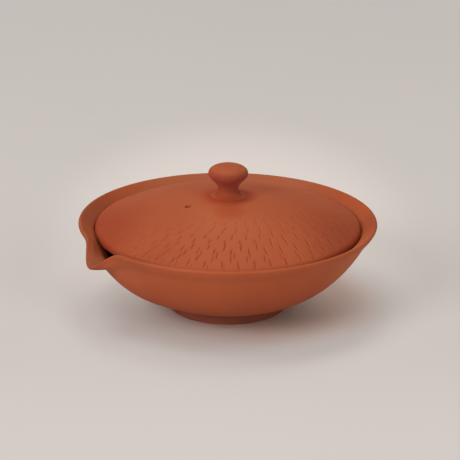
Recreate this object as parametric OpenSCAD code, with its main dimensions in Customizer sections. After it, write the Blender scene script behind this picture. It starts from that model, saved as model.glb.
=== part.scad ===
// Shiboridashi: a shallow, unglazed clay teapot without a handle.
// A flared bowl on a foot ring has a spout pulled from its rim. A loose domed lid with a
// funnel-shaped knob drops onto a seat inside the rim, and the tea pours out under the lid's
// edge, where the seat gives way to the spout.
// Millimetres. The origin is the middle of the foot's resting face, +Z is up along the turning
// axis and the spout points to -X.

/* [Bowl] */
// Outer diameter of the rim
rim_d = 124; // [110:1:140]
// Height of the rim above the table
rim_h = 37.3; // [32:0.1:45]
// Thickness of the rounded lip
lip_t = 1.8; // [1.4:0.1:2.4]
// Slope of the lip's underside, in degrees
lip_slope = 60; // [48:1:64]
// How far the neck under the lip stands in from the rim
neck_in = 4.6; // [4:0.1:6]
// How far the neck lies below the rim
neck_down = 7.5; // [6.5:0.1:9.5]
// Slope of the wall at the neck, in degrees
neck_slope = 61; // [54:1:72]
// Fullness of the wall below the neck
neck_pull = 11.6; // [9:0.1:15]
// Slope of the wall where it leaves the foot, in degrees
belly_slope = 7; // [5:0.1:14]
// Fullness of the wall above the foot
belly_pull = 15.4; // [11:0.1:18]
// Thickness of the wall
wall = 2.8; // [2.2:0.1:3.4]
// Thickness of the floor
floor_t = 3; // [2.2:0.1:4.5]

/* [Lid seat] */
// Width of the flare between the rim and the recess that takes the lid
flare_w = 6.4; // [5.4:0.1:8]
// Depth of the seat below the rim
seat_depth = 5.3; // [4.5:0.1:6.5]
// Width of the seat
seat_w = 2.6; // [2:0.1:3.4]
// Height of the recess wall round the lid's edge
recess_h = 1.2; // [0.8:0.1:1.8]
// Clearance between the lid's edge and the recess wall
lid_gap = 0.4; // [0.3:0.05:0.8]

/* [Spout] */
// How far the lip is pulled out at the spout's tip
spout_pull = 4.4; // [3:0.1:7]
// How far the lip is pressed down at the spout's tip
spout_drop = 7.4; // [5.5:0.1:9]
// Half of the angle over which the lip is pulled, in degrees
spout_half = 15; // [13:0.5:22]
// How much wider, in degrees, the pull becomes towards the foot
spout_spread = 26; // [10:1:30]
// Half of the angle over which the lid's seat gives way, in degrees
seat_half = 28; // [24:0.5:36]
// Thickness of the lip at the spout's tip
spout_lip_t = 1.9; // [1.1:0.1:2.2]

/* [Foot ring] */
// Diameter of the foot where it meets the bowl
foot_d = 50.2; // [42:0.1:58]
// Height of the foot
foot_h = 5; // [3.5:0.1:6.5]
// Width of the foot's wall where it meets the bowl
foot_w = 5; // [4:0.1:6.5]
// How far the outside of the foot leans in towards the table
foot_lean = 0.3; // [0.1:0.1:1.2]
// Radius of the foot's worn edges
foot_round = 0.5; // [0.3:0.1:1]

/* [Lid] */
// Height of the dome's top above the seat
lid_h = 16; // [12:0.1:20]
// Height of the lid's upright edge
lid_edge_h = 1.7; // [1.2:0.1:2.4]
// Radius of the shoulder between the edge and the dome
shoulder_r = 3.2; // [2.5:0.1:5.5]
// Thickness of the dome
lid_t = 2.8; // [2.2:0.1:3.4]
// Width of the ring that stands on the seat
lid_rim_w = 3.4; // [2.8:0.1:4.4]
// Radius of the fillet inside that ring
lid_fillet = 2; // [1:0.1:3]
// Radius of the worn lower edge
lid_round = 1; // [0.5:0.05:1.2]
// Diameter of the vent that lets air in while tea pours out
vent_d = 2.6; // [1.8:0.1:3.4]
// Distance of the vent from the knob's axis, towards the spout
vent_off = 19.6; // [15:0.1:30]

/* [Knob] */
// Diameter of the knob at its widest
knob_d = 16.5; // [13:0.1:20]
// Height of the knob above the flat that it stands on
knob_h = 13.5; // [10:0.1:16]
// Height of the domed top above the widest line
knob_crown = 3.7; // [2.4:0.1:5]
// Diameter of the waist
waist_d = 8.2; // [6:0.1:11]
// Height of the waist above the flat
waist_h = 2.8; // [1.8:0.1:3.6]
// Diameter of the knob's base
knob_base_d = 17; // [13:0.1:20]

/* [Hidden] */
$fn = 96;

clay = [0.71, 0.31, 0.19];
foot_clay = [0.62, 0.26, 0.16];

// Places round the bowl's section, as [radius, height]
rim_r = rim_d / 2;
lip_centre = [rim_r - lip_t / 2, rim_h - lip_t / 2];
neck = [rim_r - neck_in, rim_h - neck_down];
foot_edge = [foot_d / 2, foot_h];
floor_z = foot_h + floor_t;
seat_z = rim_h - seat_depth;
recess_r = rim_r - flare_w;
seat_out = [recess_r, seat_z];
seat_in = [recess_r - seat_w, seat_z];
flare_foot = [recess_r, seat_z + recess_h];

// Where the pull takes those places on the spout's middle line: shares of spout_pull outwards
// and of spout_drop downwards
function pulled(p, out, down) = p + [out * spout_pull, -down * spout_drop];
tip_ridge = pulled([lip_centre.x, rim_h], 1, 1);
tip_centre = tip_ridge - [0, spout_lip_t / 2];
tip_neck = pulled(neck, 0.01, 0.54);
tip_flare_foot = pulled(flare_foot, 0.15, 0.6);
tip_seat_out = pulled(seat_out, -0.1, 0.85);
tip_seat_in = pulled(seat_in, 0, 1.1);

// Slopes on the spout's middle line, in degrees, and the length of the curves' handles there
tip_rise = 32;
tip_fall = -16;
tip_slope = 14;
tip_neck_slope = 53;
tip_neck_pull = 12.8;
lip_pull = 3.3;
tip_pull = 3;

// Exponents of the rounded peak that shapes the spout across its width
peak_in = 2;
peak_out = 3.8;

// Softness of the corner between floor and wall
floor_blend = 1.2;

// Steps of the bowl's loft: round the axis, crowded towards the spout, and along the section
loft_turns = 96;
loft_crowd = 0.6;
inner_steps = 7;
ramp_steps = 3;
lip_steps = 6;
under_steps = 4;
outer_steps = 9;

// The lid, as [radius, height]
lid_r = recess_r - lid_gap;
lid_top = seat_z + lid_h;
shoulder = [lid_r - shoulder_r, seat_z + lid_edge_h];
rise = lid_top - shoulder.y;
dome_r = (pow(shoulder.x, 2) + pow(rise, 2) - pow(shoulder_r, 2)) / (2 * (rise - shoulder_r));
dome_centre = [0, lid_top - dome_r];
shoulder_a = atan2(shoulder.y - dome_centre.y, shoulder.x);
under_r = dome_r - lid_t;
lid_inner_r = lid_r - lid_rim_w;
fillet_x = lid_inner_r - lid_fillet;
fillet = [fillet_x, dome_centre.y + sqrt(pow(under_r - lid_fillet, 2) - pow(fillet_x, 2))];
fillet_a = atan2(fillet.y - dome_centre.y, fillet.x);

// The flat on the dome that the knob is joined to
land_r = knob_base_d / 2;
land_a = acos(land_r / dome_r);
land_z = dome_centre.y + dome_r * sin(land_a);

function polar(r, a) = [r * cos(a), r * sin(a)];

function arc(centre, r, from, to, steps) =
    [for (i = [0 : steps]) centre + polar(r, from + (to - from) * i / steps)];

function bezier(p, t) =
    pow(1 - t, 3) * p[0] + 3 * pow(1 - t, 2) * t * p[1] + 3 * (1 - t) * t * t * p[2] + pow(t, 3) * p[3];

function bezier_dir(p, t) =
    let (d = pow(1 - t, 2) * (p[1] - p[0]) + 2 * (1 - t) * t * (p[2] - p[1]) + t * t * (p[3] - p[2]))
    d / norm(d);

function curve(p, steps) = [for (i = [0 : steps]) bezier(p, i / steps)];

function tail(points) = [for (i = [1 : len(points) - 1]) points[i]];

function larger(a, b, blend) = (a + b + sqrt(pow(a - b, 2) + pow(blend, 2))) / 2;

// A curve that runs inside another at the wall's thickness and never dips below the floor
function lining(p, steps) =
    [for (i = [0 : steps - 1])
        let (t = i / steps, d = bezier_dir(p, t), q = bezier(p, t) + wall * [-d.y, d.x])
        [q.x, larger(q.y, floor_z, floor_blend)]];

// One half section of the bowl: up the inside from the floor, over the seat and the lip, and
// down the outside to the foot
function section(
    lip, lip_r, rise, over, under, under_pull, neck, slope, pull, flare_foot, seat_out, seat_in) =
    let (
        belly = [foot_edge, foot_edge + polar(belly_pull, belly_slope), neck - polar(pull, slope), neck],
        lip_start = lip + polar(lip_r, over + 90),
        third = norm(lip_start - flare_foot) / 3,
        ramp = [flare_foot, flare_foot + polar(third, rise), lip_start - polar(third, over), lip_start],
        lip_edge = lip + polar(lip_r, under - 90),
        flare = [lip_edge, lip_edge - polar(under_pull, under), neck + polar(lip_pull, slope), neck],
        outside = curve([belly[3], belly[2], belly[1], belly[0]], outer_steps)
    )
    concat(
        lining(belly, inner_steps),
        [seat_in, seat_out],
        curve(ramp, ramp_steps),
        tail(arc(lip, lip_r, over + 90, under - 90, lip_steps)),
        tail(curve(flare, under_steps)),
        tail(outside)
    );

// Slope of the straight line from a point that just touches the upper side of a circle
function touch(p, centre, r) =
    let (to = centre - p)
    atan2(to.y, to.x) + asin(r / norm(to));

flare_slope = touch(flare_foot, lip_centre, lip_t / 2);
plain = section(lip_centre, lip_t / 2, flare_slope, flare_slope, lip_slope, lip_pull,
    neck, neck_slope, neck_pull, flare_foot, seat_out, seat_in);
spout = section(tip_centre, spout_lip_t / 2, tip_rise, tip_fall, tip_slope, tip_pull,
    tip_neck, tip_neck_slope, tip_neck_pull, tip_flare_foot, tip_seat_out, tip_seat_in);

// How much of the spout's section shows at an angle from the spout: the seat gives way over an
// angle of its own, and the rest is pulled over an angle that grows from the lip to the foot
function peak(t) = abs(t) >= 1 ? 0 : pow(1 - pow(abs(t), peak_in), peak_out);
function reach(z) = spout_half + spout_spread * sqrt(max(0, (rim_h - lip_t - z) / rim_h));
function on_seat(i) = i >= inner_steps && i <= inner_steps + 2;
function half_section(off) =
    [for (i = [0 : len(plain) - 1])
        let (share = peak(off / (on_seat(i) ? seat_half : reach(plain[i].y))))
        (1 - share) * plain[i] + share * spout[i]];

// Angle from the spout of one of the loft's sections
function turn(i) = let (a = 360 * i / loft_turns) a - loft_crowd * 180 / PI * sin(a);
function signed(a) = a > 180 ? a - 360 : a;

module bowl() {
    rings = len(plain);
    points = concat(
        [for (i = [0 : loft_turns - 1], p = half_section(signed(turn(i))))
            [-p.x * cos(turn(i)), -p.x * sin(turn(i)), p.y]],
        [[0, 0, floor_z], [0, 0, foot_h]]
    );
    floor_point = loft_turns * rings;
    base_point = floor_point + 1;
    faces = [for (i = [0 : loft_turns - 1])
        let (a = i * rings, b = (i + 1) % loft_turns * rings)
        each concat(
            [[floor_point, b, a], [base_point, a + rings - 1, b + rings - 1]],
            [for (k = [0 : rings - 2]) each [[a + k, b + k, b + k + 1], [a + k, b + k + 1, a + k + 1]]]
        )];
    color(clay) polyhedron(points, faces);
}

module foot_ring() {
    bottom_out = foot_d / 2 - foot_lean;
    bottom_in = foot_d / 2 - foot_w + foot_lean;
    color(foot_clay) rotate_extrude()
        polygon(concat(
            [[foot_d / 2 - foot_w, foot_h]],
            arc([bottom_in + foot_round, foot_round], foot_round, 180, 270, lip_steps),
            arc([bottom_out - foot_round, foot_round], foot_round, 270, 360, lip_steps),
            [[foot_d / 2, foot_h]]
        ));
}

module lid() {
    dome_steps = 14;
    shoulder_steps = 8;
    lower = [lid_r - lid_round, seat_z + lid_round];
    color(clay) difference() {
        rotate_extrude()
            polygon(concat(
                [[0, land_z]],
                arc(dome_centre, dome_r, land_a, shoulder_a, dome_steps),
                tail(arc(shoulder, shoulder_r, shoulder_a, 0, shoulder_steps)),
                arc(lower, lid_round, 0, -90, lip_steps),
                [[lid_inner_r, seat_z]],
                arc(fillet, lid_fillet, 0, fillet_a, lip_steps),
                tail(arc(dome_centre, under_r, fillet_a, 90, dome_steps))
            ));
        translate([-vent_off, 0, seat_z]) cylinder(h = lid_h, d = vent_d);
    }
}

module knob() {
    base = [land_r, land_z];
    waist = [waist_d / 2, land_z + waist_h];
    edge = [knob_d / 2, land_z + knob_h - knob_crown];
    top = [0, land_z + knob_h];
    funnel_h = edge.y - waist.y;
    skirt = [base, [(base.x + waist.x) / 2, base.y], waist - [0, 0.6 * waist_h], waist];
    funnel = [waist, waist + [0, 0.48 * funnel_h], edge - [0, 0.33 * funnel_h], edge];
    crown = [edge, edge + [0, 0.6 * knob_crown], [0.66 * edge.x, top.y], top];
    skirt_steps = 6;
    funnel_steps = 10;
    crown_steps = 8;
    color(clay) rotate_extrude()
        polygon(concat(
            [[0, land_z]],
            curve(skirt, skirt_steps),
            tail(curve(funnel, funnel_steps)),
            tail(curve(crown, crown_steps))
        ));
}

bowl();
foot_ring();
lid();
knob();
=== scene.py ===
"""Looks of the shiboridashi: fine clay meshes with cut chatter marks, the clay, a pale floor, light and camera.

Profiles are worked out in millimetres as (radius, height) and become meshes in metres, in the frame of the
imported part: the foot stands on z = 0, the turning axis is Z and the spout points to -X.
"""
import math
import random

import bpy
import numpy as np
from mathutils import Matrix, Vector
from mathutils.geometry import delaunay_2d_cdt


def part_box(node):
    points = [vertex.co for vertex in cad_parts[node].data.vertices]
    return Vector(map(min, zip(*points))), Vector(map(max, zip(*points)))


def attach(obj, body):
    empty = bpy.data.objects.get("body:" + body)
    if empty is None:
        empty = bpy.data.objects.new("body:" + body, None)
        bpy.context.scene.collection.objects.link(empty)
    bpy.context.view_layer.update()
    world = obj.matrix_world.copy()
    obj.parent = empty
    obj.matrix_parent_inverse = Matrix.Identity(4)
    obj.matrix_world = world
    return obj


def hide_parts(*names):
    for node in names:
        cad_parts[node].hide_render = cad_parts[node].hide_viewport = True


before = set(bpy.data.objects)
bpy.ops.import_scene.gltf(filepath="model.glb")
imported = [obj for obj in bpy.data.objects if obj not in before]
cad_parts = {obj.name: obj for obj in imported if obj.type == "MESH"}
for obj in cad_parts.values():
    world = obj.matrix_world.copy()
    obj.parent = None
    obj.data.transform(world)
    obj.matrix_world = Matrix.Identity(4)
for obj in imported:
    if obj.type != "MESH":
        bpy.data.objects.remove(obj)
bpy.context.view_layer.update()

MM = 0.001
POT_BODY = "pot_body"
LID_BODY = "lid_body"


def top_of(node, axis):
    """Largest coordinate of a CAD node along an axis, in millimetres."""
    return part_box(node)[1][axis] / MM


# Sizes taken from the frame
RIM_R = top_of("bowl", 0)
RIM_H = top_of("bowl", 2)
FOOT_R = top_of("foot_ring", 0)
FOOT_H = top_of("foot_ring", 2)
LID_R = top_of("lid", 0)
SEAT_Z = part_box("lid")[0].z / MM
KNOB_BASE_R = top_of("knob", 0)
KNOB_TOP = top_of("knob", 2)
LAND_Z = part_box("knob")[0].z / MM

# Bowl. Slopes are in degrees from level, and a pull is the length of a curve's handle.
LIP_T = 1.8
LIP_SLOPE = 60
LIP_PULL = 3.3
NECK_IN = 4.6
NECK_DOWN = 7.5
NECK_SLOPE = 61
NECK_PULL = 11.6
BELLY_SLOPE = 7.0
BELLY_PULL = 15.4
WALL = 2.8
FLOOR_T = 3.0
FLOOR_BLEND = 1.2
FLARE_W = 6.4
SEAT_W = 2.6
RECESS_H = 1.2
SEAT_ROUND = 0.45

# Spout. The halves and the spread are angles round the axis, and the peaks are powers of its blend.
SPOUT_PULL = 4.4
SPOUT_DROP = 7.4
SPOUT_HALF = 15
SPOUT_SPREAD = 26
SEAT_HALF = 28
SPOUT_LIP_T = 1.9
TIP_RISE = 32
TIP_FALL = -16
TIP_SLOPE = 14
TIP_PULL = 3.0
TIP_NECK_SLOPE = 53
TIP_NECK_PULL = 12.8
PEAK_IN = 2
PEAK_OUT = 3.8
# Shares of the spout's pull and drop that four places of the plain section take at the tip
NECK_SHARES = (0.01, 0.54)
FLARE_FOOT_SHARES = (0.15, 0.6)
SEAT_OUT_SHARES = (-0.1, 0.85)
SEAT_IN_SHARES = (0, 1.1)

# Foot ring
FOOT_W = 5.0
FOOT_LEAN = 0.3
FOOT_ROUND = 0.5
NICK_W = 0.35
NICK_H = 0.9

# Lid
LID_H = 16.0
LID_EDGE_H = 1.7
SHOULDER_R = 2.4
LID_T = 2.8
LID_RIM_W = 3.4
LID_FILLET = 2.0
LID_ROUND = 1.0
LID_CORNER = 0.4
VENT_R = 1.3
VENT_OFF = 19.6
VENT_ROUND = 0.1
KNOB_SWELL = 0.12
KNOB_SWELL_W = 1.6

# Knob. The last five are curve handles, as shares of the height or radius that they follow.
WAIST_R = 4.1
WAIST_H = 2.8
KNOB_R = 8.25
KNOB_CROWN = 3.7
SKIRT_END = 0.6
FUNNEL_START = 0.48
FUNNEL_END = 0.33
CROWN_START = 0.6
CROWN_END = 0.66

# Meshes: steps round the axis. The bowl's sections crowd together at the spout.
BOWL_TURNS = 360
FOOT_TURNS = 360
LID_TURNS = 360
KNOB_TURNS = 144
VENT_TURNS = 32
CROWD = 0.6

# Meshes: steps along the profiles, and radii of the rings on the bowl's floor and underside
CORNER_STEPS = 8
SIDE_STEPS = 6
LINING_STEPS = 28
LINING_SHORT = 3
SLIDE_STEPS = 12
SLIDE_SKIP = 2
SEAT_FADE_STEPS = 4
LIP_STEPS = 16
FLARE_STEPS = 12
BELLY_STEPS = 36
FLOOR_RINGS = (1.5, 6.0, 11.0, 16.0, 20.0)
UNDER_RINGS = (22.0, 18.0, 13.0, 8.0, 3.0)
SKIRT_STEPS = 16
FUNNEL_STEPS = 24
CROWN_STEPS = 24

# Meshes: rings and spacing of points on the lid's top and in the hollow under it, and gaps kept free of points
TOP_RINGS = 35
SHOULDER_RINGS = 10
TOP_STEP = 1.5
COVERED_STEP = 1.6
TOP_LEAST = 12
MARK_CLEAR = 0.45
VENT_CLEAR = 1.0
LID_EDGE_STEPS = 3
LID_SEAT_STEPS = 4
LID_UNDER_STEPS = 16
HOLLOW_START = 2.0
HOLLOW_STEP = 1.8
HOLLOW_LEAST = 8
HOLLOW_CLEAR = 0.5
OUTLET_CLEAR = 0.8
HOLE_SHARE = 0.99
SAME_POINT = 1e-7
SHARP_ANGLE = 24


def polar(r, a):
    """Point at distance r in direction a, in degrees."""
    return np.array([r * math.cos(math.radians(a)), r * math.sin(math.radians(a))])


def arc(centre, r, start, end, steps):
    return [np.array(centre) + polar(r, a) for a in np.linspace(start, end, steps + 1)]


def circle(r, count, centre=(0, 0), shift=0.0):
    """Points round a circle, turned by a share of their spacing."""
    return [np.array(centre) + polar(r, 360 * (i + shift) / count) for i in range(count)]


def bezier(p, t):
    a, b, c, d = (np.array(q, float) for q in p)
    return (1 - t) ** 3 * a + 3 * (1 - t) ** 2 * t * b + 3 * (1 - t) * t * t * c + t ** 3 * d


def bezier_dir(p, t):
    a, b, c, d = (np.array(q, float) for q in p)
    v = (1 - t) ** 2 * (b - a) + 2 * (1 - t) * t * (c - b) + t * t * (d - c)
    return v / np.linalg.norm(v)


def curve(p, steps):
    return [bezier(p, t) for t in np.linspace(0, 1, steps + 1)]


def straight(a, b, steps):
    """Points between a and b, without either end."""
    a, b = np.array(a, float), np.array(b, float)
    return [a + (b - a) * t for t in np.linspace(0, 1, steps + 1)[1:-1]]


def rounded(before, corner, after, size, steps=4):
    """A corner softened over a length on both of its sides."""
    b, c, a = (np.array(q, float) for q in (before, corner, after))
    start = c + (b - c) / np.linalg.norm(b - c) * size
    end = c + (a - c) / np.linalg.norm(a - c) * size
    return [(1 - t) ** 2 * start + 2 * (1 - t) * t * c + t * t * end for t in np.linspace(0, 1, steps + 1)]


def larger(a, b, blend):
    """The larger of two numbers, with a soft change from one to the other."""
    return (a + b + math.sqrt((a - b) ** 2 + blend ** 2)) / 2


def slope_of(a, b):
    return math.degrees(math.atan2(b[1] - a[1], b[0] - a[0]))


# Light and tone: soft patches that bring the clay nearer to the photo, worked out from colours compared at
# small places of photo and render. They are partly fired tone and mostly painted light: painted shade at the
# lid's ends and edge, in the spout's trough, on the flare and on the lip beside the spout, the knob's painted
# shadow on the lid round its base, and painted sheen on the lid's front, the bowl's back rim and far right and
# the knob's sides. Each has its CAD node, the radius, direction and height of its middle, where it is full and
# where it ends, and its colour as a share of the clay's. Directions are as the camera sees the pot, in degrees:
# 0 is right, 90 is behind.
CAMERA_TURN = 32.7
LIGHT_AND_TONE_PATCHES = [
    ("lid", 60, 192, 36, 9, 38, (0.84, 0.64, 0.66)),
    ("lid", 62, 342, 36, 8, 39, (0.76, 0.68, 0.70)),
    ("lid", 58, 235, 36, 3, 20, (0.92, 0.91, 0.93)),
    ("lid", 58, 315, 36, 3, 20, (0.92, 0.91, 0.93)),
    ("lid", 26, 270, 46, 6, 28, (1.05, 1.13, 1.13)),
    ("lid", 46, 52, 42, 6, 28, (1.14, 1.10, 0.93)),
    ("lid", 0, 0, 48, 8.5, 14, (1.00, 0.70, 0.74)),
    ("lid", 17, 273, 47, 3, 9, (0.95, 0.78, 0.74)),
    ("lid", 19.6, 212.7, 44.5, 1.95, 2.1, (1.40, 0.92, 0.75)),
    ("bowl", 60, 165, 36, 6, 26, (0.80, 0.84, 0.92)),
    ("bowl", 60, 212, 31, 3, 12, (0.78, 0.86, 1.00)),
    ("bowl", 61, 230, 37, 4, 14, (0.88, 0.90, 0.94)),
    ("bowl", 58, 226, 28, 3, 12, (1.08, 1.12, 1.10)),
    ("bowl", 60, 0, 37, 4, 13, (0.87, 0.82, 0.80)),
    ("bowl", 57, 333, 28, 4, 20, (1.16, 1.36, 1.34)),
    ("bowl", 59, 88, 36, 24, 54, (0.97, 1.22, 1.46)),
    ("bowl", 62, 192, 37.5, 2, 8, (0.84, 0.94, 0.93)),
    ("bowl", 63, 203, 36.5, 2, 8, (0.84, 0.90, 0.92)),
    ("bowl", 65, 213, 33, 2, 8, (0.84, 0.90, 0.90)),
    ("knob", 8, 185, 53, 4, 9, (1.24, 1.26, 1.10)),
    ("knob", 8, 355, 53, 4, 9, (1.22, 1.36, 1.30)),
]
# The knob's painted shade by height, from the same comparison: dull and bluish under the crown, darker round
# its edge
KNOB_PAINTED_SHADE = [
    (47.9, (1.08, 0.90, 1.05)),
    (50.8, (0.80, 0.71, 0.95)),
    (54.4, (0.96, 1.00, 2.00)),
    (57.4, (0.80, 0.68, 1.10)),
    (58.5, (0.76, 0.68, 0.86)),
    (60.0, (0.96, 1.02, 1.02)),
]


def painted_light_and_tone(node, points):
    """Colour at each point as a share of the plain clay's: painted shade, shadow and sheen, partly fired tone.
    """
    places = np.array(points, float)
    light_and_tone = np.ones((len(places), 3))
    if node == "knob":
        heights, colours = zip(*KNOB_PAINTED_SHADE)
        light_and_tone = np.array([np.interp(places[:, 2], heights, channel) for channel in zip(*colours)]).T
    for name, r, direction, z, full, end, colour in LIGHT_AND_TONE_PATCHES:
        if name == node:
            off = np.linalg.norm(places - np.array([*polar(r, direction - CAMERA_TURN), z]), axis=1)
            share = np.clip((end - off) / (end - full), 0, 1)
            share = share * share * (3 - 2 * share)
            light_and_tone *= 1 + share[:, None] * (np.array(colour) - 1)
    return np.hstack([light_and_tone, np.ones((len(places), 1))])


def add_object(name, data):
    made = bpy.data.objects.new(name, data)
    bpy.context.scene.collection.objects.link(made)
    return made


def add_piece(name, points, faces, body, node, **marks):
    """A smooth mesh piece in metres that stands for a CAD node. Marks are per-vertex values for the clay."""
    mesh = bpy.data.meshes.new(name)
    mesh.from_pydata([tuple(float(c) * MM for c in p) for p in points], [], [tuple(f) for f in faces])
    mesh.validate()
    mesh.polygons.foreach_set("use_smooth", [True] * len(mesh.polygons))
    for mark, values in marks.items():
        layer = mesh.attributes.new(mark, "FLOAT", "POINT")
        layer.data.foreach_set("value", np.array(values, np.float32))
    # Painted light and tone: painted shade, shadow and sheen from the patches, partly fired tone
    light_and_tone = mesh.attributes.new("light_and_tone", "FLOAT_COLOR", "POINT")
    light_and_tone.data.foreach_set("color", painted_light_and_tone(node, points).astype(np.float32).ravel())
    mesh.update()
    piece = add_object(name, mesh)
    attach(piece, body)
    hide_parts(node)
    return piece


def loft(sections, turns):
    """Points and faces of a closed ring of sections, each a list of (radius, height), at angles in degrees.

    Where a section runs downwards on the outside, its faces look outwards.
    """
    count = len(sections[0])
    points = []
    for section, a in zip(sections, turns):
        c, s = math.cos(math.radians(a)), math.sin(math.radians(a))
        points += [(r * c, r * s, z) for r, z in section]
    faces = []
    for i in range(len(sections)):
        a, b = i * count, (i + 1) % len(sections) * count
        faces += [(a + k, a + k + 1, b + k + 1, b + k) for k in range(count - 1)]
    return points, faces


def revolve(profile, turns):
    """Points and faces of a profile turned round the axis."""
    return loft([profile] * turns, [360 * i / turns for i in range(turns)])


def end_rings(points, turns):
    """Numbers of the first points and of the last points of all sections of a loft."""
    count = len(points) // turns
    return [i * count for i in range(turns)], [(i + 1) * count - 1 for i in range(turns)]


def band(a, b):
    """Faces between two rings of point numbers."""
    return [(a[i - 1], b[i - 1], b[i], a[i]) for i in range(len(a))]


def close_pole(points, faces, ring, z, up):
    """Closes a ring of point numbers with a fan round a point on the axis."""
    pole = len(points)
    points.append((0.0, 0.0, z))
    for a, b in zip(ring, ring[1:] + ring[:1]):
        faces.append((pole, a, b) if up else (pole, b, a))


# Bowl: two half sections, one plain and one on the spout's middle line, blended round the axis

RECESS_R = RIM_R - FLARE_W
LIP_CENTRE = np.array([RIM_R - LIP_T / 2, RIM_H - LIP_T / 2])
NECK = np.array([RIM_R - NECK_IN, RIM_H - NECK_DOWN])
FOOT_EDGE = np.array([FOOT_R, FOOT_H])
FLOOR_Z = FOOT_H + FLOOR_T
SEAT_OUT = np.array([RECESS_R, SEAT_Z])
SEAT_IN = np.array([RECESS_R - SEAT_W, SEAT_Z])
FLARE_FOOT = np.array([RECESS_R, SEAT_Z + RECESS_H])


def pulled(p, out, down):
    """A place moved out and down by shares of the spout's pull and drop."""
    return p + np.array([out * SPOUT_PULL, -down * SPOUT_DROP])


def lining(p, steps):
    """The inside of the wall, at the wall's thickness from its outer curve and never below the floor."""
    inside = []
    for t in np.linspace(0, 1, steps + 1)[:-1]:
        d = bezier_dir(p, t)
        r, z = bezier(p, t) + WALL * np.array([-d[1], d[0]])
        inside.append(np.array([r, larger(z, FLOOR_Z, FLOOR_BLEND)]))
    return inside


def touch(p, centre, r):
    """Slope of the straight line from a point that just touches the upper side of a circle."""
    to = centre - p
    return math.degrees(math.atan2(to[1], to[0]) + math.asin(r / np.linalg.norm(to)))


def section(lip, lip_r, rise, over, under, under_pull, neck, slope, pull, flare_foot, seat_out, seat_in):
    """A half section from the floor's middle over the seat and the lip to the middle of the underside.

    Each place is (radius, height, share), where the share is 1 on the lid's seat and 0 away from it.
    """
    belly = [FOOT_EDGE, FOOT_EDGE + polar(BELLY_PULL, BELLY_SLOPE), neck - polar(pull, slope), neck]
    lip_start = lip + polar(lip_r, over + 90)
    third = np.linalg.norm(lip_start - flare_foot) / 3
    ramp = [flare_foot, flare_foot + polar(third, rise), lip_start - polar(third, over), lip_start]
    lip_edge = lip + polar(lip_r, under - 90)
    flare = [lip_edge, lip_edge - polar(under_pull, under), neck + polar(LIP_PULL, slope), neck]
    inside = lining(belly, LINING_STEPS)[1:-LINING_SHORT]
    start = [np.array([r, FLOOR_Z]) for r in FLOOR_RINGS] + inside
    start += straight(inside[-1], seat_in, SIDE_STEPS)
    seat = rounded(inside[-1], seat_in, seat_out, SEAT_ROUND)
    seat += rounded(seat_in, seat_out, flare_foot, SEAT_ROUND)
    seat += rounded(seat_out, flare_foot, ramp[1], SEAT_ROUND)
    slide = curve(ramp, SLIDE_STEPS)[SLIDE_SKIP:-1]
    rest = arc(lip, lip_r, over + 90, under - 90, LIP_STEPS)
    rest += curve(flare, FLARE_STEPS)[1:] + curve(belly[::-1], BELLY_STEPS)[1:]
    rest += [np.array([r, FOOT_H]) for r in UNDER_RINGS]
    shares = [0.0] * len(start) + [1.0] * len(seat)
    shares += [max(0.0, 1 - k / SEAT_FADE_STEPS) for k in range(SLIDE_SKIP, SLIDE_STEPS)]
    shares += [0.0] * len(rest)
    return [(*p, share) for p, share in zip(start + seat + slide + rest, shares)]


def spout_share(off, z, on_seat):
    """How much of the spout's section shows at an angle from the spout."""
    reach = SPOUT_HALF + SPOUT_SPREAD * math.sqrt(max(0.0, (RIM_H - LIP_T - z) / RIM_H))
    reach += (SEAT_HALF - reach) * on_seat
    t = abs(off) / reach
    return (1 - t ** PEAK_IN) ** PEAK_OUT if t < 1 else 0.0


def make_bowl():
    over = touch(FLARE_FOOT, LIP_CENTRE, LIP_T / 2)
    plain = section(LIP_CENTRE, LIP_T / 2, over, over, LIP_SLOPE, LIP_PULL, NECK, NECK_SLOPE, NECK_PULL,
                    FLARE_FOOT, SEAT_OUT, SEAT_IN)
    tip = pulled(np.array([LIP_CENTRE[0], RIM_H]), 1, 1) - np.array([0, SPOUT_LIP_T / 2])
    spout = section(tip, SPOUT_LIP_T / 2, TIP_RISE, TIP_FALL, TIP_SLOPE, TIP_PULL,
                    pulled(NECK, *NECK_SHARES), TIP_NECK_SLOPE, TIP_NECK_PULL,
                    pulled(FLARE_FOOT, *FLARE_FOOT_SHARES), pulled(SEAT_OUT, *SEAT_OUT_SHARES),
                    pulled(SEAT_IN, *SEAT_IN_SHARES))
    turns, sections = [], []
    for i in range(BOWL_TURNS):
        a = 360 * i / BOWL_TURNS
        off = a - CROWD * math.degrees(math.sin(math.radians(a)))
        signed = off - 360 if off > 180 else off
        shares = [spout_share(signed, z, on_seat) for _, z, on_seat in plain]
        sections.append([((1 - k) * p[0] + k * q[0], (1 - k) * p[1] + k * q[1])
                         for p, q, k in zip(plain, spout, shares)])
        turns.append(180 + off)
    points, faces = loft(sections, turns)
    floor, underside = end_rings(points, BOWL_TURNS)
    close_pole(points, faces, floor, FLOOR_Z, True)
    close_pole(points, faces, underside, FOOT_H, False)
    return add_piece("bowl_clay", points, faces, POT_BODY, "bowl")


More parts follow.
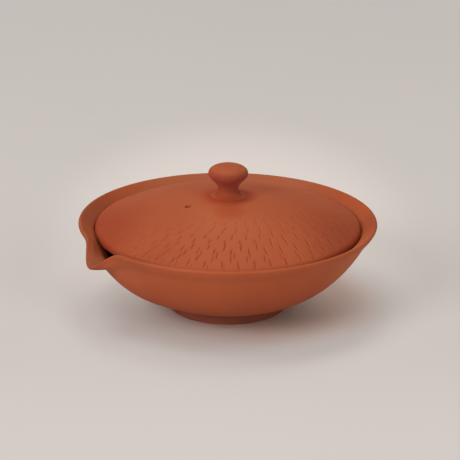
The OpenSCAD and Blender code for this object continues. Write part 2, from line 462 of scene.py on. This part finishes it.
def make_foot():
    bottom_out = FOOT_R - FOOT_LEAN
    bottom_in = FOOT_R - FOOT_W + FOOT_LEAN
    nick = np.array([FOOT_R - NICK_W, FOOT_H])
    below = np.array([FOOT_R - FOOT_LEAN * NICK_H / FOOT_H, FOOT_H - NICK_H])
    profile = curve([nick, nick - (0, NICK_H / 2), below + (0, NICK_H / 3), below], CORNER_STEPS)
    profile += straight(below, (bottom_out, FOOT_ROUND), SIDE_STEPS)
    profile += arc((bottom_out - FOOT_ROUND, FOOT_ROUND), FOOT_ROUND, 0, -90, CORNER_STEPS)
    profile += arc((bottom_in + FOOT_ROUND, FOOT_ROUND), FOOT_ROUND, -90, -180, CORNER_STEPS)
    profile += straight((bottom_in, FOOT_ROUND), (FOOT_R - FOOT_W, FOOT_H), SIDE_STEPS)
    profile.append(np.array([FOOT_R - FOOT_W, FOOT_H]))
    points, faces = revolve(profile, FOOT_TURNS)
    outer, inner = end_rings(points, FOOT_TURNS)
    faces += band(inner, outer)
    # The whole foot ring takes the bare clay with its painted shade
    bare = [1.0] * len(points)
    return add_piece("foot_ring_clay", points, faces, POT_BODY, "foot_ring", bare=bare)


# Lid: a dome with chatter marks, cut as small grooves into a triangulated top

LID_TOP = SEAT_Z + LID_H
SHOULDER = np.array([LID_R - SHOULDER_R, SEAT_Z + LID_EDGE_H])
RISE = LID_TOP - SHOULDER[1]
DOME_R = (SHOULDER[0] ** 2 + RISE ** 2 - SHOULDER_R ** 2) / (2 * (RISE - SHOULDER_R))
DOME_Z = LID_TOP - DOME_R
UNDER_R = DOME_R - LID_T
SHOULDER_A = math.degrees(math.atan2(SHOULDER[1] - DOME_Z, SHOULDER[0]))
TOP_EDGE_A = 8
VENT_AT = np.array([-VENT_OFF, 0.0])
HOLLOW_R = VENT_OFF + 4 * VENT_R


def shoulder_r(a):
    """Radius of the lid's round shoulder where its surface faces a degrees above level."""
    return SHOULDER[0] + SHOULDER_R * math.cos(math.radians(a))


CREST_R = shoulder_r(SHOULDER_A)
TOP_EDGE_R = shoulder_r(TOP_EDGE_A)

# Rows of marks: first and last radius, marks round the lid, direction of one mark, lean from the straight
# line outwards, and depth as a share of the deepest. Directions are as the camera sees the lid, in degrees.
ROWS = [
    (22.6, 25.6, 38, 274.5, 14, 0.30),
    (25.2, 29.0, 40, 268.9, 15, 0.45),
    (28.7, 35.6, 41, 269.1, 19, 0.60),
    (34.9, 38.7, 41, 264.9, 13, 0.90),
    (38.1, 41.5, 40, 268.5, 11, 1.00),
    (40.7, 45.0, 41, 268.7, 10, 1.00),
    (43.2, 47.4, 42, 272.4, 8, 1.00),
    (45.3, 49.5, 44, 265.1, 8, 0.95),
    (47.3, 52.0, 45, 271.6, 8, 0.85),
    (50.0, 54.4, 49, 267.5, 6, 0.90),
    (52.2, 54.9, 52, 268.5, 10, 0.70),
]
# Round the lid the lean grows by LEAN_MORE from the front to the right side, and goes back behind the knob:
# each pair is an angle from LEAN_FROM and a share. The marks become shallower away from their deepest place.
LEAN_MORE = 30
LEAN_FROM = 308
LEAN_SWING = ((0, 0), (40, 1), (140, 1), (230, 0))
DEEPEST_AT = 290
DEEP_WITHIN = 55
FAINT_BEYOND = 95
FAINT_SHARE = 0.35
MARK_DEPTH = 0.32
# Across a mark: widths of its near and far side and of the dark strip beside its bottom, painted shade that is
# partly the cut clay's own colour. Along it: where it is fullest, and how it fades from there. The strip is
# full in colour before the mark is at its deepest.
MARK_NEAR_W = 0.40
MARK_FAR_W = 0.62
MARK_DARK_W = 0.25
MARK_PEAK = 0.45
MARK_EASE = 2.4
MARK_TAIL = 1.29
MARK_GAIN = 1.5
MARK_STEPS = 5
EDGE_CLEAR = 0.15
# Random spread of direction, ends, lean and depth
MARK_SEED = 7
SEEN_SPREAD = 0.3
START_SPREAD = 0.3
END_SPREAD = 0.4
LEAN_SPREAD = 3
DEPTH_SPREAD = (0.8, 1.1)
# Cells of the grids that find the marks and the outline points near a place
MARK_CELL = 4
POINT_CELL = 1


def dome_z(r):
    """Height of the lid's top, which swells a little to take the thin edge of the knob's base."""
    if r <= CREST_R:
        swell = KNOB_SWELL * math.exp(-((r - KNOB_BASE_R) / KNOB_SWELL_W) ** 2)
        return DOME_Z + math.sqrt(DOME_R ** 2 - r * r) + swell
    return SHOULDER[1] + math.sqrt(max(0.0, SHOULDER_R ** 2 - (r - SHOULDER[0]) ** 2))


def sunk(x, y, depth):
    """A place on the lid's top, moved square to the surface into the clay."""
    r = math.hypot(x, y)
    z = dome_z(r)
    centre = np.array([0, DOME_Z]) if r <= CREST_R else SHOULDER
    out, up = (np.array([r, z]) - centre) / np.linalg.norm(np.array([r, z]) - centre)
    near = 1 - depth * out / r if r else 1
    return x * near, y * near, z - depth * up


def chatter_marks():
    """Each mark as its inner end, outer end and depth, in plan."""
    draw = random.Random(MARK_SEED)
    marks = []
    for first, last, count, direction, lean, share in ROWS:
        for i in range(count):
            seen = direction + 360 * i / count + draw.uniform(-SEEN_SPREAD, SEEN_SPREAD)
            r0 = first + draw.uniform(-START_SPREAD, START_SPREAD)
            r1 = last + draw.uniform(-END_SPREAD, END_SPREAD)
            swing = np.interp((seen - LEAN_FROM) % 360, *zip(*LEAN_SWING))
            turn = lean + LEAN_MORE * swing + draw.uniform(-LEAN_SPREAD, LEAN_SPREAD)
            off = abs((seen - DEEPEST_AT + 180) % 360 - 180)
            strength = np.interp(off, (DEEP_WITHIN, FAINT_BEYOND), (1, FAINT_SHARE))
            depth = MARK_DEPTH * share * strength * draw.uniform(*DEPTH_SPREAD)
            a = seen - CAMERA_TURN
            start = polar(r0, a)
            end = start + polar((r1 - r0) / math.cos(math.radians(turn)), a - turn)
            end *= min(1, (TOP_EDGE_R - EDGE_CLEAR) / np.linalg.norm(end))
            marks.append((start, end, depth))
    return marks


def mark_frame(mark):
    """A mark's inner end, directions along and across it, length and depth."""
    start, end, depth = mark
    along = (end - start) / np.linalg.norm(end - start)
    return start, along, np.array([-along[1], along[0]]), np.linalg.norm(end - start), depth


def mark_swell(t):
    """Width and depth along a mark: quick at the start, drawn out at the end."""
    return max(0.0, 1 - abs(2 * (t - MARK_PEAK)) ** MARK_EASE / MARK_TAIL)


def mark_outline(mark):
    """A mark's four lines from end to end: near side, bottom, edge of the dark strip and far side."""
    start, along, across, length, _ = mark_frame(mark)
    lines = []
    for off in (-MARK_NEAR_W, 0, MARK_DARK_W, MARK_FAR_W):
        inner = [start + along * length * t + across * off * mark_swell(t)
                 for t in np.linspace(0, 1, MARK_STEPS + 1)[1:-1]]
        lines.append([start, *inner, start + along * length])
    return lines


def cell_of(p, size):
    return int(p[0] // size), int(p[1] // size)


def cells_round(cell):
    """A cell and its eight neighbours."""
    return [(cell[0] + i, cell[1] + j) for i in (-1, 0, 1) for j in (-1, 0, 1)]


def mark_grid(marks):
    """Numbers of the marks in or beside each cell of the plan."""
    grid = {}
    for i, (start, end, _) in enumerate(marks):
        passed = [cell_of(start + (end - start) * t, MARK_CELL) for t in (0, 0.5, 1)]
        for cell in {near for cell in passed for near in cells_round(cell)}:
            grid.setdefault(cell, []).append(i)
    return grid


def groove(marks, grid, p):
    """Depth of the deepest mark at a point of the plan, and whether the point is on its dark strip."""
    deepest, dark = 0.0, False
    for i in grid.get(cell_of(p, MARK_CELL), ()):
        start, along, across, length, depth = mark_frame(marks[i])
        q = p - start
        t = float(q @ along) / length
        if not 0 < t < 1:
            continue
        swell = mark_swell(t)
        side = float(q @ across)
        width = MARK_NEAR_W if side < 0 else MARK_FAR_W
        share = 1 - abs(side) / (width * swell) if swell > 0 else 0
        if depth * swell * share > deepest:
            deepest, dark = depth * swell * share, 0 < side < MARK_DARK_W * swell
    return deepest, dark


def spaced_ring(r, step, least, shift=0.0):
    """Points round a circle, about a step apart and not fewer than the least number."""
    return circle(r, max(least, int(2 * math.pi * r / step)), shift=shift)


def holed_plan(r, hole_r):
    """Points and edges of the start of a plan: a circle, the vent in it, and the middle."""
    points = circle(r, LID_TURNS) + circle(hole_r, VENT_TURNS, VENT_AT) + [np.zeros(2)]
    edges = [(i, (i + 1) % LID_TURNS) for i in range(LID_TURNS)]
    edges += [(LID_TURNS + i, LID_TURNS + (i + 1) % VENT_TURNS) for i in range(VENT_TURNS)]
    return points, edges


def top_plan(marks):
    """Points and edges of the lid's top seen from above: rim, vent, rings, and the outline of each mark."""
    outlines = [mark_outline(mark) for mark in marks]
    taken = {}
    for p in (p for lines in outlines for line in lines for p in line):
        taken.setdefault(cell_of(p, POINT_CELL), []).append(p)

    def is_free(p):
        if np.linalg.norm(p - VENT_AT) < VENT_R + VENT_CLEAR:
            return False
        near = (q for cell in cells_round(cell_of(p, POINT_CELL)) for q in taken.get(cell, ()))
        return all(np.linalg.norm(p - q) > MARK_CLEAR for q in near)

    radii = list(np.arange(TOP_STEP, KNOB_BASE_R, COVERED_STEP))
    radii += list(np.linspace(KNOB_BASE_R, CREST_R, TOP_RINGS + 1))
    radii += [shoulder_r(a) for a in np.linspace(SHOULDER_A, TOP_EDGE_A, SHOULDER_RINGS + 1)[1:-1]]
    points, edges = holed_plan(TOP_EDGE_R, VENT_R + VENT_ROUND)
    for k, r in enumerate(radii):
        points += [p for p in spaced_ring(r, TOP_STEP, TOP_LEAST, 0.5 * (k % 2)) if is_free(p)]
    for lines in outlines:
        first, last = len(points), len(points) + 1
        points += [lines[0][0], lines[0][-1]]
        for line in lines:
            inner = range(len(points), len(points) + len(line) - 2)
            points += line[1:-1]
            chain = [first, *inner, last]
            edges += list(zip(chain, chain[1:]))
    return points, edges


def hollow_plan():
    """Points and edges of the middle of the lid's underside, seen from above."""
    points, edges = holed_plan(HOLLOW_R, VENT_R)
    for r in np.arange(HOLLOW_START, HOLLOW_R - HOLLOW_CLEAR, HOLLOW_STEP):
        points += [p for p in spaced_ring(r, HOLLOW_STEP, HOLLOW_LEAST)
                   if np.linalg.norm(p - VENT_AT) > VENT_R + OUTLET_CLEAR]
    return points, edges


def triangulate(plan, edges, hole_r, up):
    """A plan as triangles that face up or down, with the vent left open.

    Gives the points, the rings of point numbers round the plan and round the vent, and the faces.
    """
    corners = [Vector(p) for p in plan]
    flat, _, triangles, sources, _, _ = delaunay_2d_cdt(corners, edges, [], 0, SAME_POINT, True)
    number = {s: i for i, origin in enumerate(sources) for s in origin}
    rim = [number[i] for i in range(LID_TURNS)]
    vent = [number[LID_TURNS + i] for i in range(VENT_TURNS)]
    faces = []
    for t in triangles:
        a, b, c = (flat[i] for i in t)
        if ((a + b + c) / 3 - Vector(VENT_AT)).length > HOLE_SHARE * hole_r:
            is_up = (b - a).cross(c - a) > 0
            faces.append(tuple(t) if is_up == up else tuple(t[::-1]))
    return flat, rim, vent, faces


def lid_profile():
    """The lid's edge, flat ring and underside, from the rim of its top to the hollow round the vent."""
    inner_r = LID_R - LID_RIM_W
    fillet_x = inner_r - LID_FILLET
    fillet = (fillet_x, DOME_Z + math.sqrt((UNDER_R - LID_FILLET) ** 2 - fillet_x ** 2))
    fillet_a = slope_of((0, DOME_Z), fillet)
    hollow_a = math.degrees(math.acos(HOLLOW_R / UNDER_R))
    profile = arc(SHOULDER, SHOULDER_R, TOP_EDGE_A, 0, LID_EDGE_STEPS)[1:]
    profile += arc((LID_R - LID_ROUND, SEAT_Z + LID_ROUND), LID_ROUND, 0, -90, CORNER_STEPS)
    profile += straight((LID_R - LID_ROUND, SEAT_Z), (inner_r, SEAT_Z), LID_SEAT_STEPS)
    profile += rounded((LID_R, SEAT_Z), (inner_r, SEAT_Z), (inner_r, fillet[1]), LID_CORNER)
    profile += arc(fillet, LID_FILLET, 0, fillet_a, CORNER_STEPS)
    profile += arc((0, DOME_Z), UNDER_R, fillet_a, hollow_a, LID_UNDER_STEPS)[1:]
    return profile


def darken_marks(mesh, marks, grid):
    """Tells the clay which faces lie on the dark strip of a mark, painted shade along its bottom, and how
    strongly they show.
    """
    cut_and_shade = mesh.attributes.new("cut_and_shade", "FLOAT", "FACE")
    for face, value in zip(mesh.polygons, cut_and_shade.data):
        x, y, _ = face.center / MM
        if face.normal.z > 0 and math.hypot(x, y) > KNOB_BASE_R:
            depth, dark = groove(marks, grid, np.array([x, y]))
            value.value = min(1.0, MARK_GAIN * depth / MARK_DEPTH) if dark else 0.0


def make_lid():
    marks = chatter_marks()
    grid = mark_grid(marks)
    flat, ring, mouth, faces = triangulate(*top_plan(marks), VENT_R + VENT_ROUND, True)
    points = [sunk(p.x, p.y, groove(marks, grid, np.array(p))[0]) for p in flat]
    for r, z in lid_profile():
        fresh = list(range(len(points), len(points) + LID_TURNS))
        points += [(*p, z) for p in circle(r, LID_TURNS)]
        faces += band(ring, fresh)
        ring = fresh

    # Middle of the underside, which shares its outer ring with the profile
    flat, hollow, outlet, under_faces = triangulate(*hollow_plan(), VENT_R, False)
    place = dict(zip(hollow, ring))
    for i, p in enumerate(flat):
        if i not in place:
            place[i] = len(points)
            points.append((p.x, p.y, DOME_Z + math.sqrt(UNDER_R ** 2 - p.length_squared)))
    faces += [tuple(place[i] for i in face) for face in under_faces]

    # Wall of the vent, with a softened upper edge
    throat = list(range(len(points), len(points) + VENT_TURNS))
    points += [(*p, dome_z(VENT_OFF) - VENT_ROUND) for p in circle(VENT_R, VENT_TURNS, VENT_AT)]
    faces += band(throat, mouth) + band([place[i] for i in outlet], throat)
    piece = add_piece("lid_clay", points, faces, LID_BODY, "lid")
    piece.data.set_sharp_from_angle(angle=math.radians(SHARP_ANGLE))
    darken_marks(piece.data, marks, grid)
    return piece


def make_knob():
    base = np.array([KNOB_BASE_R, LAND_Z])
    waist = np.array([WAIST_R, LAND_Z + WAIST_H])
    edge = np.array([KNOB_R, KNOB_TOP - KNOB_CROWN])
    top = np.array([0.0, KNOB_TOP])
    up = np.array([0.0, 1.0])
    funnel_h = edge[1] - waist[1]
    skirt = [base, ((base[0] + waist[0]) / 2, base[1]), waist - up * WAIST_H * SKIRT_END, waist]
    funnel = [waist, waist + up * FUNNEL_START * funnel_h, edge - up * FUNNEL_END * funnel_h, edge]
    crown = [edge, edge + up * CROWN_START * KNOB_CROWN, (edge[0] * CROWN_END, top[1]), top]
    profile = curve(skirt, SKIRT_STEPS) + curve(funnel, FUNNEL_STEPS)[1:] + curve(crown, CROWN_STEPS)[1:-1]
    points, faces = revolve(profile, KNOB_TURNS)
    faces = [f[::-1] for f in faces]  # the profile runs upwards
    bottom, summit = end_rings(points, KNOB_TURNS)
    close_pole(points, faces, summit, KNOB_TOP, True)
    close_pole(points, faces, bottom, LAND_Z, False)
    return add_piece("knob_clay", points, faces, LID_BODY, "knob")


# Clay

PLAIN = (1, 1, 1, 1)
CLAY_LIGHT = (0.369, 0.082, 0.0284, 1)
CLAY_DEEP = (0.322, 0.065, 0.0220, 1)
# Painted shade in the chatter marks, partly the cut clay's own colour
CUT_CLAY_AND_SHADE = (0.258, 0.021, 0.0036, 1)
CUT_AND_SHADE_SHARE = 0.9
# The foot ring is bare clay, duller than the smoothed clay above it, and darker still as painted shade under
# the belly
BARE_SHADED_LIGHT = (0.270, 0.075, 0.0440, 1)
BARE_SHADED_DEEP = (0.230, 0.060, 0.0340, 1)
CLAY_ROUGHNESS = (0.56, 0.72)
CLAY_SPECULAR = 0.1
# Noise as scale and detail, its roughness, and the range that it mostly keeps to
RINGS = (900, 2.0)
MOTTLE = (42, 4.0)
GRAIN = (2600, 2.0)
NOISE_ROUGHNESS = 0.55
NOISE_RANGE = (0.25, 0.75)
RING_WANDER = 0.02
MOTTLE_SHARE = 0.7
GRAIN_SHARE = 0.3
GRAIN_HEIGHT = 0.5
RING_HEIGHT = 0.5
BUMP_STRENGTH = 0.25
BUMP_DISTANCE = 0.00008


class Nodes:
    """Short calls for building a node tree."""

    def __init__(self, tree):
        self.tree = tree

    def add(self, kind, **settings):
        made = self.tree.nodes.new(kind)
        for key, value in settings.items():
            setattr(made, key, value)
        return made

    def link(self, source, target):
        self.tree.links.new(source, target)

    def feed(self, socket, value):
        """Links an output to a socket, or sets the socket to a plain value."""
        if isinstance(value, bpy.types.NodeSocket):
            self.link(value, socket)
        else:
            socket.default_value = value

    def math(self, operation, *values):
        made = self.add("ShaderNodeMath", operation=operation)
        for socket, value in zip(made.inputs, values):
            self.feed(socket, value)
        return made.outputs[0]

    def length(self, a, b):
        """Distance between two places that lie a and b apart along two axes."""
        return self.math("SQRT", self.math("ADD", self.math("MULTIPLY", a, a), self.math("MULTIPLY", b, b)))

    def noise(self, vector, scale, detail):
        made = self.add("ShaderNodeTexNoise")
        made.inputs["Scale"].default_value = scale
        made.inputs["Detail"].default_value = detail
        made.inputs["Roughness"].default_value = NOISE_ROUGHNESS
        self.link(vector, made.inputs["Vector"])
        return made.outputs["Fac"]

    def spread(self, noise, low, high):
        """Noise as a value from low to high."""
        made = self.add("ShaderNodeMapRange")
        for name, value in zip(("From Min", "From Max", "To Min", "To Max"), (*NOISE_RANGE, low, high)):
            made.inputs[name].default_value = value
        self.link(noise, made.inputs["Value"])
        return made.outputs["Result"]

    def ramp(self, value, start, end):
        """0 up to the start and 1 from the end on, with a smooth change between."""
        made = self.add("ShaderNodeMapRange", interpolation_type="SMOOTHSTEP")
        made.inputs["From Min"].default_value = start
        made.inputs["From Max"].default_value = end
        self.link(value, made.inputs["Value"])
        return made.outputs["Result"]

    def mix(self, share, a, b, blend="MIX"):
        made = self.add("ShaderNodeMix", data_type="RGBA", blend_type=blend)
        for name, value in (("Factor", share), ("A", a), ("B", b)):
            fits = (s for s in made.inputs if s.name == name and (name == "Factor" or s.type == "RGBA"))
            self.feed(next(fits), value)
        return next(s for s in made.outputs if s.type == "RGBA")

    def mark(self, name, output):
        """A value that the mesh carries."""
        return self.add("ShaderNodeAttribute", attribute_name=name).outputs[output]

    def seen(self):
        """1 for what the camera sees, straight or in a reflection, and 0 for the light that falls on things."""
        path = self.add("ShaderNodeLightPath")
        mirrored = self.math("MAXIMUM", path.outputs["Is Glossy Ray"], path.outputs["Is Transmission Ray"])
        return self.math("MAXIMUM", path.outputs["Is Camera Ray"], mirrored)


def clay_material():
    """Fired red clay: mottled, finely grained, with the faint rings that turning leaves, darker in the cuts as
    painted shade.
    """
    material = bpy.data.materials.new("red_clay")
    material.use_nodes = True
    n = Nodes(material.node_tree)
    shader = material.node_tree.nodes["Principled BSDF"]
    place = n.add("ShaderNodeTexCoord").outputs["Object"]
    axes = n.add("ShaderNodeSeparateXYZ")
    n.link(place, axes.inputs[0])
    x, y, z = axes.outputs

    # Rings follow the radius and the height, and wander a little across the pot
    ring_place = n.add("ShaderNodeCombineXYZ")
    for socket, value in zip(ring_place.inputs, (n.length(x, y), z, n.math("MULTIPLY", x, RING_WANDER))):
        n.link(value, socket)
    rings = n.noise(ring_place.outputs[0], *RINGS)
    mottle = n.noise(place, *MOTTLE)
    grain = n.noise(place, *GRAIN)
    blotch = n.math("ADD", n.math("MULTIPLY", mottle, MOTTLE_SHARE), n.math("MULTIPLY", grain, GRAIN_SHARE))
    light = n.spread(blotch, 0.0, 1.0)
    smooth = n.mix(light, CLAY_DEEP, CLAY_LIGHT)
    # The foot ring: bare clay with painted shade
    base = n.mix(n.mark("bare", "Fac"), smooth, n.mix(light, BARE_SHADED_DEEP, BARE_SHADED_LIGHT))
    # Painted shade along the marks' bottoms, partly the cut clay's own colour
    colour = n.mix(n.math("MULTIPLY", n.mark("cut_and_shade", "Fac"), CUT_AND_SHADE_SHARE), base, CUT_CLAY_AND_SHADE)
    # Times the painted light and tone that the mesh carries
    n.link(n.mix(1.0, colour, n.mark("light_and_tone", "Color"), "MULTIPLY"), shader.inputs["Base Color"])
    n.link(n.spread(grain, *CLAY_ROUGHNESS), shader.inputs["Roughness"])
    shader.inputs["Specular IOR Level"].default_value = CLAY_SPECULAR
    bump = n.add("ShaderNodeBump")
    bump.inputs["Strength"].default_value = BUMP_STRENGTH
    bump.inputs["Distance"].default_value = BUMP_DISTANCE
    height = n.math("ADD", n.math("MULTIPLY", grain, GRAIN_HEIGHT), n.math("MULTIPLY", rings, RING_HEIGHT))
    n.link(height, bump.inputs["Height"])
    n.link(bump.outputs["Normal"], shader.inputs["Normal"])
    return material


# Floor. Places are (right, behind) of the pot's middle as the camera sees them, in metres.

FLOOR_R = 6.0
FLOOR_TURNS = 96
FLOOR_COLOUR = (0.595, 0.550, 0.519, 1)
FLOOR_DIM = 0.985
FLOOR_NOISE = (9, 3.0)
FLOOR_ROUGHNESS = 0.9
# Colour of the light that the floor throws back onto the pot
FLOOR_BOUNCE = (0.86, 0.82, 0.79, 1)
# Away from the pot the floor glows a little as the camera sees it, straight or in a reflection, which lightens
# the shadow as in the photo: middle, length, and where it starts and is full. The glow and the warm place were
# fitted to the photo's floor and rounded.
FLOOR_GLOW = 0.477
GLOW_AT = (0.001, -0.011)
GLOW_L = 0.87
GLOW_FROM = 0.018
GLOW_TO = 0.058
# Painted falloff of light: a little darker far behind the pot, and paler in front of it
FAR_PAINTED_SHADE = (0.965, 0.965, 0.965, 1)
FAR_FROM = 0.12
FAR_TO = 0.5
NEAR_PAINTED_LIGHT = (1.08, 1.065, 1.065, 1)
NEAR_FROM = -0.03
NEAR_TO = -0.15
# Painted shade by the foot, warm like light that the clay throws back
WARM_PAINTED_SHADE = (0.88, 0.74, 0.67, 1)
WARM_AT = (0.0175, 0.003)
WARM_FROM = 0.028
WARM_TO = 0.056
# A painted pool of light behind the pot
POOL_PAINTED_LIGHT = (1.22, 1.19, 1.17, 1)
POOL_AT = (0.003, 0.10)
POOL_W = 0.10
POOL_L = 0.18
POOL_FULL = 0.45


def floor_material():
    material = bpy.data.materials.new("pale_floor")
    material.use_nodes = True
    n = Nodes(material.node_tree)
    shader = material.node_tree.nodes["Principled BSDF"]
    place = n.add("ShaderNodeTexCoord").outputs["Object"]
    dim = tuple(c * FLOOR_DIM for c in FLOOR_COLOUR[:3]) + (1,)
    shown = n.mix(n.spread(n.noise(place, *FLOOR_NOISE), 0.0, 1.0), dim, FLOOR_COLOUR)

    turned = n.add("ShaderNodeVectorRotate", rotation_type="Z_AXIS")
    turned.inputs["Angle"].default_value = math.radians(CAMERA_TURN)
    n.link(place, turned.inputs["Vector"])
    axes = n.add("ShaderNodeSeparateXYZ")
    n.link(turned.outputs[0], axes.inputs[0])
    right, behind = axes.outputs[:2]

    def off(middle, width, length):
        """Distance from a place, as a share of a width to the right and a length behind."""
        return n.length(n.math("DIVIDE", n.math("SUBTRACT", right, middle[0]), width),
                        n.math("DIVIDE", n.math("SUBTRACT", behind, middle[1]), length))

    # Painted light and shade on the floor
    for plain_share, tone in ((n.ramp(behind, FAR_TO, FAR_FROM), FAR_PAINTED_SHADE),
                              (n.ramp(behind, NEAR_TO, NEAR_FROM), NEAR_PAINTED_LIGHT),
                              (n.ramp(off(WARM_AT, 1.0, 1.0), WARM_FROM, WARM_TO), WARM_PAINTED_SHADE),
                              (n.ramp(off(POOL_AT, POOL_W, POOL_L), POOL_FULL, 1.0), POOL_PAINTED_LIGHT)):
        shown = n.mix(1.0, shown, n.mix(plain_share, tone, PLAIN), "MULTIPLY")
    n.link(n.mix(n.seen(), FLOOR_BOUNCE, shown), shader.inputs["Base Color"])
    shader.inputs["Roughness"].default_value = FLOOR_ROUGHNESS
    shader.inputs["Specular IOR Level"].default_value = 0.0

    away = n.math("MULTIPLY", n.ramp(off(GLOW_AT, 1.0, GLOW_L), GLOW_FROM, GLOW_TO), FLOOR_GLOW)
    glow = n.add("ShaderNodeEmission")
    n.link(shown, glow.inputs["Color"])
    both = n.add("ShaderNodeMixShader")
    shares = (n.math("MULTIPLY", away, n.seen()), shader.outputs[0], glow.outputs[0])
    for socket, value in zip(both.inputs, shares):
        n.link(value, socket)
    n.link(both.outputs[0], material.node_tree.nodes["Material Output"].inputs["Surface"])
    return material


def make_floor():
    mesh = bpy.data.meshes.new("floor")
    mesh.from_pydata([(*p, 0) for p in circle(FLOOR_R, FLOOR_TURNS)], [], [tuple(range(FLOOR_TURNS))])
    mesh.materials.append(floor_material())
    floor = add_object("floor", mesh)


# Light: a plain backdrop that the camera sees, and round soft boxes. Each lamp has its azimuth as the camera
# sees the pot (0 is behind the camera, 90 to its right), its elevation, and its share of the full power.
# The shares were fitted to the photo's light and rounded.

BACKDROP_COLOUR = (0.58, 0.54, 0.51, 1)
LAMP_DISTANCE = 3.0
LAMP_SIZE = 1.3
LAMP_POWER = 88.8
LAMPS = [
    ("front_left", 315, 30, 0.57),
    ("front_right", 45, 30, 0.21),
    ("front_low", 0, 12, 0.115),
    ("above_left", 270, 72, 0.29),
    ("above_right", 45, 72, 0.135),
    ("above_back", 180, 72, 0.26),
    ("back", 180, 50, 0.04),
]


def outwards(azimuth, elevation):
    """Direction away from the pot at an azimuth and elevation."""
    a, e = math.radians(azimuth - CAMERA_TURN), math.radians(elevation)
    return Vector((math.sin(a) * math.cos(e), -math.cos(a) * math.cos(e), math.sin(e)))


def aim(thing, place, target, roll=0.0):
    """Puts a lamp or camera at a place, looking at a target, rolled by an angle about its line of sight."""
    back = (place - target).normalized()
    right = Vector((0, 0, 1)).cross(back).normalized()
    turn = Matrix((right, back.cross(right), back)).transposed().to_4x4()
    thing.matrix_world = Matrix.Translation(place) @ turn @ Matrix.Rotation(math.radians(roll), 4, "Z")


def soft_lamp(name, azimuth, elevation, share):
    data = bpy.data.lights.new(name, "AREA")
    data.shape = "DISK"
    data.size = LAMP_SIZE
    data.energy = LAMP_POWER * share
    aim(add_object(name, data), outwards(azimuth, elevation) * LAMP_DISTANCE, Vector((0, 0, 0)))


def make_light():
    world = bpy.data.worlds.new("studio")
    world.use_nodes = True
    bpy.context.scene.world = world
    n = Nodes(world.node_tree)
    sky = world.node_tree.nodes["Background"]
    sky.inputs["Color"].default_value = BACKDROP_COLOUR
    n.link(n.seen(), sky.inputs["Strength"])
    for lamp in LAMPS:
        soft_lamp(*lamp)


# Camera at the photograph's angle: a long lens, with the pot a little below and left of the middle

CAMERA_ELEVATION = 19.93
CAMERA_DISTANCE = 1.0
CAMERA_TARGET_Z = 0.030
CAMERA_ROLL = 0.456
SENSOR_W = 36
FOCAL_PX = 2401
IMAGE_PX = 460
TARGET_PX = (227.76, 235.83)


def make_camera():
    data = bpy.data.cameras.new("camera")
    data.sensor_width = SENSOR_W
    data.sensor_fit = "HORIZONTAL"
    data.lens = SENSOR_W * FOCAL_PX / IMAGE_PX
    data.shift_x = (IMAGE_PX / 2 - TARGET_PX[0]) / IMAGE_PX
    data.shift_y = (TARGET_PX[1] - IMAGE_PX / 2) / IMAGE_PX
    camera = add_object("camera", data)
    target = Vector((0, 0, CAMERA_TARGET_Z))
    aim(camera, target + outwards(0, CAMERA_ELEVATION) * CAMERA_DISTANCE, target, CAMERA_ROLL)
    bpy.context.scene.camera = camera


clay = clay_material()
for piece in (make_bowl(), make_foot(), make_lid(), make_knob()):
    piece.data.materials.append(clay)
make_floor()
make_light()
make_camera()
bpy.context.scene.view_settings.view_transform = "Standard"
